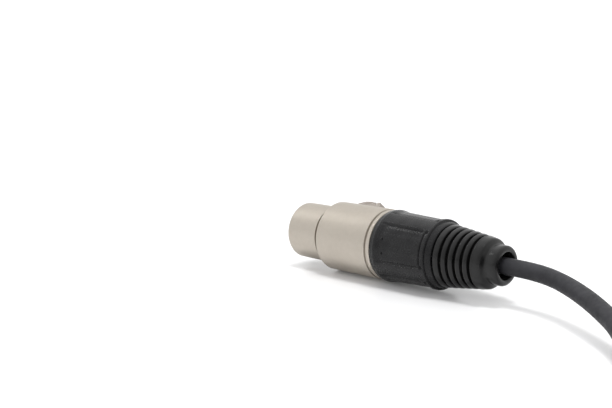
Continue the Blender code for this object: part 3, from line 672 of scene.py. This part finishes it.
def boot(prefix, place):
    """The soft boot: rounded ribs between narrow grooves, a plain cone, a shoulder and a collar."""
    outline = [(46.2, 2.75), (46.2, 6.3), (BOOT_FRONT, 6.3), (BOOT_FRONT, 7.4)]
    edges = [BOOT_FRONT - HALF_GROOVE] + [FIRST_GROOVE + k * RIB_PITCH for k in range(GROOVES)]
    for k, groove in enumerate(edges):
        front = groove + HALF_GROOVE
        last = k == len(edges) - 1
        if k:
            outline.append((front, cone_radius(groove) - GROOVE_DEPTH))
        top = (front + RIB_ROUND, cone_radius(front) - RIB_ROUND)
        outline += arc(top, RIB_ROUND, 180, 84, 5)
        if last:
            break
        back = edges[k + 1] - HALF_GROOVE
        outline += arc((back - RIB_ROUND, cone_radius(back) - RIB_ROUND), RIB_ROUND, 80, 0, 5)
        outline.append((back, cone_radius(back + HALF_GROOVE) - GROOVE_DEPTH))
    end_r = cone_radius(66.1)
    outline += densify([(64.4, cone_radius(64.4)), (65.6, cone_radius(65.6))], 0.6)
    outline += arc((65.75, end_r - 1.0), 1.0, 80, 10, 6)
    outline += arc((67.35, 5.42), 0.40, 200, 265, 3)
    outline += [(67.8, 5.06), (68.9, 5.10)]
    outline += arc((69.45, 4.1), 1.0, 80, 0, 6)
    outline += arc((70.1, 3.85), 0.35, 0, -80, 4)
    outline += [(69.2, 3.3), (68.0, 2.95), (66.5, 2.75)]
    bm = lathe(outline, BOOT_SEGMENTS)
    add_piece(f"{prefix}_boot_cover", bm, RUBBER, place, [f"{prefix}_boot"])


def shell_rear():
    """Outline of a shell from the plain cylinder to its rear lip, and back to the bore."""
    outline = arc((31.45, 9.52), 0.18, 90, 0, 4)
    outline += [(31.66, 9.22), (31.74, 9.14), (31.98, 9.14), (32.06, 9.22)]
    outline += arc((32.22, 9.36), 0.16, 180, 90, 4)
    outline += arc((33.10, 9.32), 0.20, 90, 0, 4)
    return outline + [(33.3, 8.6)]


# ---------------------------------------------------------------- female connector
PAD_HALF_WIDTH = 3.0
PAD_CROWN = 0.25  # how much lower the pad's sides are than its middle
PAD_ROUND = 0.9
PAD_STEPS = 8
PAD_TOP = 9.0  # the pad's points above this height follow its crown
PAD_FRONT_ROUND, PAD_REAR_ROUND = 16.5, 24.0  # before and behind these its ends are rounded
PAD_OVERHANG = 0.2
SHELL_SEGMENTS = 128
NOSE_SLOT = ((4.2, -1.7, 4.0), (16.0, 1.7, 9.0))
SHELL_WINDOW = ((14.6, -3.3, 4.0), (25.7, 3.3, 12.0))
SPRING_T = 17.0
SPRING_R = 1.0
SPRING_WIRE = 0.17
SPRING_LOW = 5.12
SPRING_HIGH = 6.58
SPRING_TURNS = 3
SPRING_STEPS = 24
SPRING_SIDES = 10


def female_nose(place):
    outline = [(14.5, 7.0), (0.9, 7.0)]
    outline += arc((0.4, 7.4), 0.4, 270, 180, 4)
    outline += arc((0.75, 7.25), 0.75, 180, 90, 8)
    outline += [(1.0, 8.0), (11.25, 8.0)]
    outline += arc((11.25, 7.88), 0.12, 90, 0, 3)
    outline += [(11.37, 7.15), (12.9, 7.15), (12.9, 7.7), (14.5, 7.7)]
    bm = lathe(outline, SHELL_SEGMENTS)
    made = add_piece("nose_sleeve", bm, NICKEL, place, ["female_nose"])
    cut_box(made, *NOSE_SLOT)
    soften(made, 0.09)


def female_shell(place):
    outline = [(13.15, 7.85), (13.15, 8.9)]
    outline += arc((13.95, 8.9), 0.8, 180, 90, 8)
    outline += shell_rear()
    outline += [(15.2, 8.6), (15.2, 8.0)]
    bm = lathe(outline, SHELL_SEGMENTS)
    made = add_piece("main_shell", bm, NICKEL, place, ["female_shell"])
    cut_box(made, *SHELL_WINDOW, round_corner=0.9)
    soften(made, 0.12)


def push_pad(place):
    """The latch's push pad: a ramp, two grooves, a thicker ridge across it and rounded ends."""
    outline = [(14.9, 7.85), (14.9, 9.3)]
    outline += arc((17.1, 8.3), 2.2, 152, 108, 4)
    outline += [(18.6, 11.10), (20.4, 11.28), (21.15, 11.3), (21.45, 10.75)]
    outline += [(21.75, 11.25), (21.95, 11.25), (22.35, 10.45), (22.6, 10.45), (22.95, 11.35)]
    outline += arc((23.75, 10.5), 0.8, 95, 15, 5)
    outline += [(24.75, 9.75), (25.2, 9.4), (25.2, 7.85)]
    bm = bmesh.new()
    rows = []
    for side in range(-PAD_STEPS, PAD_STEPS + 1):
        y = PAD_HALF_WIDTH * side / PAD_STEPS
        crown = PAD_CROWN * (y / PAD_HALF_WIDTH) ** 2
        share = y / (PAD_HALF_WIDTH + PAD_OVERHANG)
        pull = PAD_ROUND * (1.0 - math.sqrt(max(0.0, 1.0 - share**4)))
        row = []
        for t, z in outline:
            z_here = z - crown if z > PAD_TOP else z
            t_here = t - pull if t > PAD_REAR_ROUND else t + pull if t < PAD_FRONT_ROUND else t
            row.append(bm.verts.new((t_here * MM, y * MM, z_here * MM)))
        rows.append(row)
    for row, following in zip(rows, rows[1:]):
        for k in range(len(outline)):
            m = (k + 1) % len(outline)
            bm.faces.new((row[k], row[m], following[m], following[k]))
    bm.faces.new(rows[0])
    bm.faces.new(rows[-1])
    # The pad gets the darker copy of the satin nickel, which is painted shade standing in for the
    # shading on the pad.
    made = add_piece("push_pad", bm, SHADED_PAD_NICKEL, place, ["latch_push_pad"], LATCH)
    soften(made, 0.22, 50.0, 4)


def return_spring(place):
    """The small helical spring between the insulator's channel and the latch lever."""
    bm = bmesh.new()
    steps = SPRING_TURNS * SPRING_STEPS
    rings = []
    for k in range(steps + 1):
        turn = math.tau * k / SPRING_STEPS
        rise = SPRING_HIGH - SPRING_LOW - 2 * SPRING_WIRE
        height = SPRING_LOW + SPRING_WIRE + rise * k / steps
        ring = []
        for side in range(SPRING_SIDES):
            a = math.tau * side / SPRING_SIDES
            far = SPRING_R + SPRING_WIRE * math.cos(a)
            t, y = SPRING_T + far * math.cos(turn), far * math.sin(turn)
            z = height + SPRING_WIRE * math.sin(a)
            ring.append(bm.verts.new((t * MM, y * MM, z * MM)))
        rings.append(ring)
    for ring, following in zip(rings, rings[1:]):
        for k in range(SPRING_SIDES):
            m = (k + 1) % SPRING_SIDES
            bm.faces.new((ring[k], ring[m], following[m], following[k]))
    bm.faces.new(rings[0])
    bm.faces.new(rings[-1])
    return add_piece("return_spring", bm, STEEL, place, ["latch_spring"])


# ---------------------------------------------------------------- male connector
MALE_WINDOW = ((5.2, -1.9, 6.0), (8.6, 1.9, 12.0))


def male_shell(place):
    outline = [(28.0, 8.2), (0.5, 8.2)]
    outline += arc((0.35, 8.55), 0.35, 270, 180, 4)
    outline += arc((0.5, 9.2), 0.5, 180, 90, 6)
    outline += shell_rear()
    outline += [(28.0, 8.6)]
    bm = lathe(outline, SHELL_SEGMENTS)
    made = add_piece("male_shell_cover", bm, NICKEL, place, ["male_shell"])
    cut_box(made, *MALE_WINDOW, round_corner=0.4)
    soften(made, 0.12)


# ---------------------------------------------------------------- strap
def strap_weave():
    """Woven hook and loop strap."""
    made = Nodes("strap_weave", (0.03, 0.03, 0.032), 0.0, 0.85)
    made.set("Sheen Weight", 0.35)
    made.set("Sheen Roughness", 0.5)
    made.colour(made.noise(900.0, 4.0), (0.014, 0.014, 0.015), (0.045, 0.045, 0.048))
    made.roughness(made.noise(1500.0, 2.0), 0.78, 0.95)
    for direction in ("X", "Y", "Z"):
        wave = made.add("ShaderNodeTexWave", Scale=420.0, Distortion=1.5, Detail=1.0)
        wave.bands_direction = direction
        made.link(made.places, wave.inputs["Vector"])
        made.bump(wave.outputs["Fac"], 0.00010, 0.5)
    made.bump(made.noise(6000.0, 3.0), 0.00006, 0.6)
    return made.material


STRAP_INNER_R, STRAP_OUTER_R = 13.6, 38.35
STRAP_LOW, STRAP_HIGH = 1.15, COIL_TOP / MM + 1.35
STRAP_CORNER = 1.4
STRAP_CREASE = 50.0


def strap(place):
    """The strap, a closed loop round all the turns."""
    low_r, high_r = STRAP_INNER_R, STRAP_OUTER_R
    low_z, high_z = STRAP_LOW, STRAP_HIGH
    thick, half = TIE_THICK / MM, TIE_WIDTH / MM / 2

    def loop(grow):
        corners = [
            ((low_r - grow, low_z - grow), 180),
            ((high_r + grow, low_z - grow), 270),
            ((high_r + grow, high_z + grow), 0),
            ((low_r - grow, high_z + grow), 90),
        ]
        points = []
        round_r = STRAP_CORNER + grow
        for (r, z), start in corners:
            inward_r = round_r if r < (low_r + high_r) / 2 else -round_r
            inward_z = round_r if z < (low_z + high_z) / 2 else -round_r
            points += arc((r + inward_r, z + inward_z), round_r, start, start + 90, 6)
        return points

    bm = bmesh.new()
    inner, outer = loop(0.0), loop(thick - 0.1)
    rings = []
    for points in (inner, outer):
        for y in (-half, half):
            rings.append([bm.verts.new((r * MM, y * MM, z * MM)) for r, z in points])
    count = len(inner)
    for a, b in ((0, 1), (1, 3), (3, 2), (2, 0)):
        for k in range(count):
            m = (k + 1) % count
            bm.faces.new((rings[a][k], rings[a][m], rings[b][m], rings[b][k]))
    made = add_piece("tie_strap", bm, STRAP, place, ["cable_tie"], BODY, STRAP_CREASE)
    soften(made, 0.25, STRAP_CREASE, 2)
    return made


NICKEL = satin_nickel("satin_nickel", (0.46, 0.419, 0.365), (0.485, 0.444, 0.39))
# A darker copy of the satin nickel for the push pad: painted shade, the pad's shading and its dark
# reflections set into its colour.
SHADED_PAD_NICKEL = satin_nickel("pad_nickel_painted_shade", (0.31, 0.277, 0.25), (0.38, 0.345, 0.31))
PLASTIC = moulded_plastic()
RUBBER = boot_rubber()
JACKET = cable_jacket()
CONTACT = plated_contact()
STEEL = spring_steel()
NYLON = clamp_nylon()
STRAP = strap_weave()
CORE_WHITE = core_insulation("core_white", (0.70, 0.69, 0.65), (0.80, 0.79, 0.75))
CORE_RED = core_insulation("core_red", (0.42, 0.025, 0.022), (0.52, 0.04, 0.035))
SHIELD = copper_shield()

cable.data.materials.append(JACKET)
FEMALE, MALE = female_place(), male_place()
female_nose(FEMALE)
female_shell(FEMALE)
push_pad(FEMALE)
spring = return_spring(FEMALE)
cap_nut("female", FEMALE, PANEL_TURN)
boot("female", FEMALE)
male_shell(MALE)
cap_nut("male", MALE, 0.0)
boot("male", MALE)
tie_place = Matrix.Translation(COIL_CENTRE) @ Matrix.Rotation(TIE_ANGLE, 4, "Z")
tie = strap(tie_place)


SAME_PLACE = 0.001 * MM


def upright(piece):
    """Moves a piece's roll from its place into its mesh, which keeps its own box tight."""
    piece.data.transform(Matrix.Rotation(-LATCH_ROLL, 4, "X"))
    piece.matrix_world = Matrix.Translation(FEMALE.translation)


bpy.context.view_layer.update()
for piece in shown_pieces():
    if (piece.matrix_world.translation - FEMALE.translation).length < SAME_PLACE:
        upright(piece)

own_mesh(spring)

CARRIED = {
    "_insert": PLASTIC,
    "_chuck": NYLON,
    "_ground_tab": CONTACT,
    "socket_contact": CONTACT,
    "male_pin": CONTACT,
    "latch_lever": STEEL,
    "latch_hinge_pin": STEEL,
    "_core_a": CORE_WHITE,
    "_core_b": CORE_RED,
    "_shield_wire": SHIELD,
}
for name, node in frame["nodes"].items():
    for part, material in CARRIED.items():
        if part in name:
            node.data.materials.clear()
            node.data.materials.append(material)

# ---------------------------------------------------------------- floor and light
OPEN_SIDE = (0.72, -0.69, 0.0)
BACKDROP = 1.16
BACKDROP_FADE = {"From Min": 0.15, "From Max": 0.95, "To Min": BACKDROP, "To Max": 0.62}
FLOOR_GLOW = {"From Min": 0.16, "From Max": 0.60, "To Min": 0.05, "To Max": 0.50}
FLOOR_HALF = 6.0
FLOOR_GAP = 0.02 * MM


def make_floor():
    """A white floor just below the object, which glows more the farther it is from the middle."""
    bm = bmesh.new()
    bmesh.ops.create_grid(bm, x_segments=1, y_segments=1, size=FLOOR_HALF)
    mesh = bpy.data.meshes.new("floor")
    bm.to_mesh(mesh)
    bm.free()
    finish = Nodes("floor_white", (0.635, 0.635, 0.64), 0.0, 0.22, IOR=1.45)
    finish.set("Emission Color", (1.0, 1.0, 1.0, 1.0))
    far = finish.add("ShaderNodeVectorMath", operation="LENGTH")
    finish.link(finish.places, far.inputs[0])
    glow = finish.add("ShaderNodeMapRange", interpolation_type="SMOOTHSTEP")
    for socket, value in FLOOR_GLOW.items():
        glow.inputs[socket].default_value = value
    finish.link(far.outputs["Value"], glow.inputs["Value"])
    finish.link(glow.outputs["Result"], finish.shader.inputs["Emission Strength"])
    mesh.materials.append(finish.material)
    made = bpy.data.objects.new("floor", mesh)
    bpy.context.collection.objects.link(made)
    made.location.z = cad_box[0][2] - FLOOR_GAP


def area_light(name, place, target, size, power):
    light = bpy.data.lights.new(name, "AREA")
    light.shape = "RECTANGLE"
    light.size, light.size_y = size
    light.energy = power
    made = bpy.data.objects.new(name, light)
    bpy.context.collection.objects.link(made)
    made.location = place
    made.rotation_euler = (Vector(target) - Vector(place)).to_track_quat("-Z", "Y").to_euler()
    return made


def studio_world():
    """White all round, a little weaker from the open side of the studio in front of the object."""
    world = bpy.data.worlds.new("studio")
    world.use_nodes = True
    tree = world.node_tree
    backdrop = tree.nodes["Background"]
    backdrop.inputs["Color"].default_value = (1.0, 1.0, 1.0, 1.0)
    direction = tree.nodes.new("ShaderNodeTexCoord")
    towards = tree.nodes.new("ShaderNodeVectorMath")
    towards.operation = "DOT_PRODUCT"
    towards.inputs[1].default_value = OPEN_SIDE
    tree.links.new(direction.outputs["Generated"], towards.inputs[0])
    strength = tree.nodes.new("ShaderNodeMapRange")
    strength.interpolation_type = "SMOOTHSTEP"
    for socket, value in BACKDROP_FADE.items():
        strength.inputs[socket].default_value = value
    tree.links.new(towards.outputs["Value"], strength.inputs["Value"])
    seen = tree.nodes.new("ShaderNodeLightPath")
    white = tree.nodes.new("ShaderNodeMix")
    white.inputs["B"].default_value = BACKDROP
    tree.links.new(seen.outputs["Is Camera Ray"], white.inputs["Factor"])
    tree.links.new(strength.outputs["Result"], white.inputs["A"])
    tree.links.new(white.outputs["Result"], backdrop.inputs["Strength"])
    bpy.context.scene.world = world


make_floor()
studio_world()
bpy.context.scene.view_settings.view_transform = "Standard"
area_light("overhead", (-0.05, 0.15, 0.70), (0.0, 0.0, 0.0), (0.8, 0.6), 0.5)
area_light("side_sparkle", (-0.46, -0.14, 0.50), (0.0, 0.0, 0.01), (0.05, 0.05), 0.22)
top_key = area_light("top_key", (0.03, -0.01, 0.60), (0.03, -0.01, 0.0), (0.17, 0.17), 2.8)
front_fill = area_light("front_fill", (0.22, -0.42, 0.34), (0.03, 0.0, 0.0), (0.5, 0.4), 1.3)
for softener in (top_key, front_fill):
    softener.visible_glossy = False  # they only fill and cast the soft shadow

bpy.context.view_layer.update()
